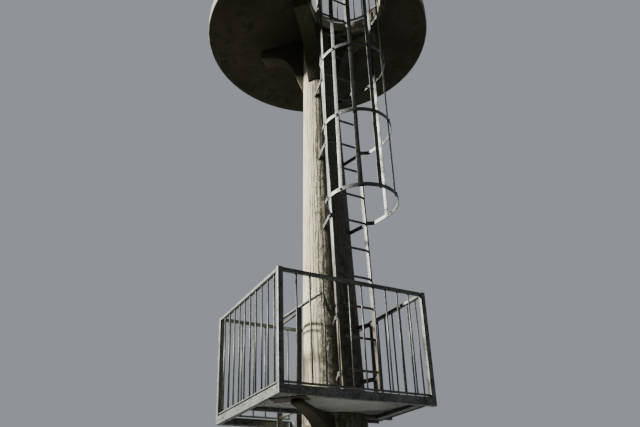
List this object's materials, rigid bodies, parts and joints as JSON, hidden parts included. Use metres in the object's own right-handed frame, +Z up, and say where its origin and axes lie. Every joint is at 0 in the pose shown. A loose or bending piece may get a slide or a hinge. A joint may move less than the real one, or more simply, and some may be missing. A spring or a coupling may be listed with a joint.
{
  "type": "observation tower",
  "caption": "Tapered concrete column with a round concrete lookout disc, an L-shaped steel landing with bar railings, two ladders and a hooped safety cage.",
  "frame": {"origin": "on the ground, on the column's axis", "axes": "+Z up, X along the landing's long front side, Y from the front side towards the back of the landing"},
  "size_m": [2.58, 2.58, 8.21],
  "materials": {
    "column_concrete": "pale cast concrete, streaked and pitted, with lichen",
    "head_concrete": "grey-brown cast concrete, stained by damp",
    "galvanised_steel": "weathered hot-dip galvanised steel with a few rust spots",
    "grating_steel": "weathered galvanised bar grating",
    "rusted_steel": "steel with brown surface rust"
  },
  "bodies": {
    "root": {"angle_bearer": "galvanised_steel", "back_channel": "galvanised_steel", "back_end_bar": "galvanised_steel", "cage_hoop_1": "galvanised_steel", "cage_hoop_2": "galvanised_steel", "cage_hoop_3": "galvanised_steel", "cage_hoop_4": "galvanised_steel", "cage_strap_1": "galvanised_steel", "cage_strap_2": "galvanised_steel", "cage_strap_3": "galvanised_steel", "cage_strap_4": "galvanised_steel", "cage_strap_5": "galvanised_steel", "cage_strap_6": "galvanised_steel", "column": "column_concrete", "corner_plate": "rusted_steel", "disc_railing_back_left": "galvanised_steel", "disc_railing_back_right": "galvanised_steel", "disc_railing_front_left": "galvanised_steel", "disc_railing_front_right": "galvanised_steel", "floor_grating_front": "grating_steel", "floor_grating_right": "grating_steel", "front_channel": "galvanised_steel", "hatch_guard_left": "galvanised_steel", "hatch_guard_right": "galvanised_steel", "haunch_back_left": "head_concrete", "haunch_back_right": "head_concrete", "haunch_front_left": "head_concrete", "haunch_front_right": "head_concrete", "inner_guard_rail": "galvanised_steel", "landing_corbel": "head_concrete", "landing_post_corner": "galvanised_steel", "landing_post_end": "galvanised_steel", "landing_post_left": "galvanised_steel", "landing_post_right": "galvanised_steel", "left_channel": "galvanised_steel", "left_cross_bearer": "galvanised_steel", "lower_bracket_1": "galvanised_steel", "lower_bracket_2": "galvanised_steel", "lower_bracket_3": "galvanised_steel", "lower_ladder": "galvanised_steel", "platform_disc": "head_concrete", "railing_back": "galvanised_steel", "railing_front": "galvanised_steel", "railing_left": "galvanised_steel", "railing_right": "galvanised_steel", "right_cross_bearer": "galvanised_steel", "right_edge_bar": "galvanised_steel", "right_end_bar": "galvanised_steel", "right_end_rail": "galvanised_steel", "upper_bracket_1": "galvanised_steel", "upper_bracket_2": "galvanised_steel", "upper_ladder": "galvanised_steel"}
  },
  "joints": []
}
